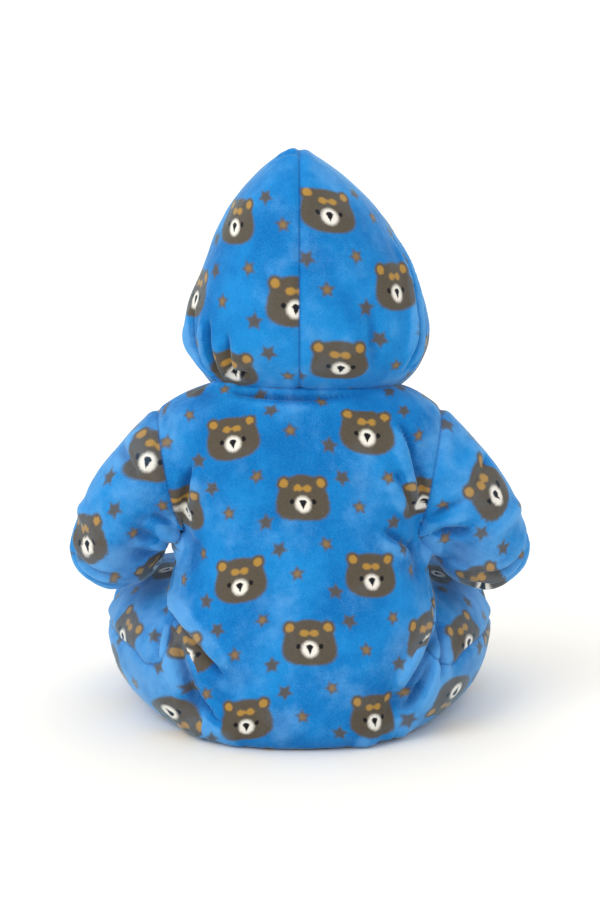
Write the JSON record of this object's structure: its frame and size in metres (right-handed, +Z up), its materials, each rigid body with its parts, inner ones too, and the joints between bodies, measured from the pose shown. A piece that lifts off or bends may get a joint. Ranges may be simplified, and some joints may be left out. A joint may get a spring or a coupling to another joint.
{
  "type": "hooded one-piece sleepsuit (toddler)",
  "caption": "Toddler's hooded one-piece sleepsuit in thick printed velvety fleece, hollow, in the pose of a seated wearer, buttoned down the front.",
  "frame": {"origin": "middle of the neck, where the wearer's neck and shoulders hold the garment", "axes": "+Z up out of the neck into the hood; the wearer faces -Y and the wearer's left is +X"},
  "size_m": [0.4216, 0.3799, 0.5257],
  "materials": {
    "fleece": "velvety brushed nap, matte with a pale sheen at grazing angles, printed with brown and gold bear heads and stars",
    "button": "satin"
  },
  "bodies": {
    "root": {"hood_left": "fleece", "hood_right": "fleece", "back": "fleece", "front_left": "fleece", "front_right": "fleece", "sleeve_left": "fleece", "sleeve_right": "fleece", "placket": "fleece", "button_1": "button", "button_2": "button", "button_3": "button", "button_4": "button", "button_5": "button"}
  },
  "joints": []
}
